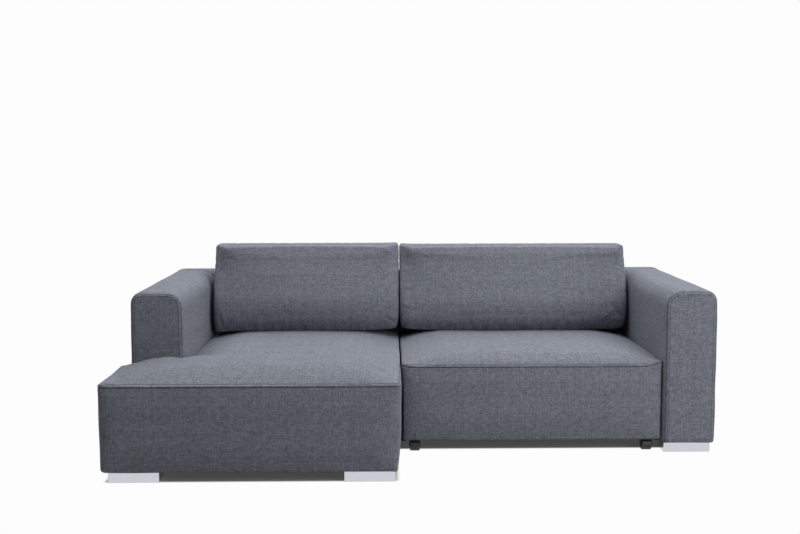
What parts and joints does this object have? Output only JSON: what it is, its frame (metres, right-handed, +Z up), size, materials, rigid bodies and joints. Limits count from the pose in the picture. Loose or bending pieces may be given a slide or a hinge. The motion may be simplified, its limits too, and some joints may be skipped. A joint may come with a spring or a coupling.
{
  "type": "corner sofa bed",
  "caption": "Corner sofa bed with a chaise, padded arms and loose back cushions; the seat rolls out on floor rollers and guide rails to make a bed",
  "frame": {"origin": "on the floor, under the middle of the sofa's outline", "axes": "+X along the sofa from the chaise to the right arm, +Y towards the back, +Z up; the sitter faces -Y"},
  "size_m": [2.5, 1.45, 0.834],
  "materials": {
    "woven_fabric": "matte",
    "chrome": "polished",
    "black_plastic": "satin",
    "zinc_steel": "satin",
    "black_steel": "satin",
    "stained_timber": "matte",
    "beech": "satin",
    "softwood": "matte",
    "lining": "matte",
    "webbing": "matte"
  },
  "bodies": {
    "sofa_frame": {"base_connectors": "zinc_steel", "base_cross_rails": "stained_timber", "base_left_board": "stained_timber", "base_right_board": "stained_timber", "chaise_back_cover": "woven_fabric", "chaise_back_frame": "softwood", "chaise_bottom_lining": "lining", "chaise_connectors": "zinc_steel", "chaise_cross_board": "softwood", "chaise_front_board": "softwood", "chaise_front_cover": "woven_fabric", "chaise_front_pad": "woven_fabric", "chaise_inner_board": "softwood", "chaise_left_board": "softwood", "chaise_left_cover": "woven_fabric", "chaise_rear_board": "softwood", "chaise_right_board": "stained_timber", "chaise_right_cover": "woven_fabric", "chaise_seat_pad": "woven_fabric", "chaise_webbing": "webbing", "deck_bearers": "softwood", "deck_slats": "beech", "front_left_foot": "chrome", "front_middle_foot": "chrome", "front_right_foot": "chrome", "guide_rail_left": "zinc_steel", "guide_rail_right": "zinc_steel", "left_arm_cover": "woven_fabric", "left_arm_frame": "softwood", "right_arm_cover": "woven_fabric", "right_arm_frame": "softwood", "seat_back_cover": "woven_fabric", "seat_back_frame": "softwood", "support_feet": "black_plastic"},
    "pull_out_seat": {"seat_pad": "woven_fabric", "seat_front_cover": "woven_fabric", "seat_front_board": "stained_timber", "seat_left_board": "stained_timber", "seat_right_board": "stained_timber", "seat_rear_batten": "softwood", "roller_blocks": "stained_timber", "seat_slats": "beech", "slat_holders": "black_plastic", "roller_fork_left": "black_steel", "roller_fork_right": "black_steel", "roller_pin_left": "black_steel", "roller_pin_right": "black_steel", "guide_axle_left": "zinc_steel", "guide_axle_right": "zinc_steel"},
    "floor_roller_left": {"floor_roller_left": "black_plastic"},
    "floor_roller_right": {"floor_roller_right": "black_plastic"},
    "guide_roller_left": {"guide_roller_left": "black_plastic"},
    "guide_roller_right": {"guide_roller_right": "black_plastic"},
    "back_cushion_left": {"back_cushion_left": "woven_fabric"},
    "back_cushion_right": {"back_cushion_right": "woven_fabric"}
  },
  "joints": [
    {"name": "seat_pull_out", "type": "slide", "parent": "sofa_frame", "child": "pull_out_seat", "axis": [0, -1, 0], "range_m": [0, 0.41]},
    {"name": "left_floor_roller_spin", "type": "hinge", "parent": "pull_out_seat", "child": "floor_roller_left", "pos_m": [-0.025, -0.254, 0.025], "axis": [1, 0, 0], "range_deg": [0, 945]},
    {"name": "right_floor_roller_spin", "type": "hinge", "parent": "pull_out_seat", "child": "floor_roller_right", "pos_m": [0.969, -0.254, 0.025], "axis": [1, 0, 0], "range_deg": [0, 945]},
    {"name": "left_guide_roller_spin", "type": "hinge", "parent": "pull_out_seat", "child": "guide_roller_left", "pos_m": [-0.055, 0.555, 0.18], "axis": [1, 0, 0], "range_deg": [0, 1475]},
    {"name": "right_guide_roller_spin", "type": "hinge", "parent": "pull_out_seat", "child": "guide_roller_right", "pos_m": [0.999, 0.555, 0.18], "axis": [1, 0, 0], "range_deg": [0, 1475]},
    {"name": "left_cushion_lift", "type": "slide", "parent": "sofa_frame", "child": "back_cushion_left", "axis": [0, 0, 1], "range_m": [0, 0.3]},
    {"name": "right_cushion_lift", "type": "slide", "parent": "sofa_frame", "child": "back_cushion_right", "axis": [0, 0, 1], "range_m": [0, 0.3]}
  ],
  "couplings": [
    {"joint": "left_floor_roller_spin", "follows": "seat_pull_out", "rad_per_m": 40},
    {"joint": "right_floor_roller_spin", "follows": "seat_pull_out", "rad_per_m": 40},
    {"joint": "left_guide_roller_spin", "follows": "seat_pull_out", "rad_per_m": 62.5},
    {"joint": "right_guide_roller_spin", "follows": "seat_pull_out", "rad_per_m": 62.5}
  ]
}
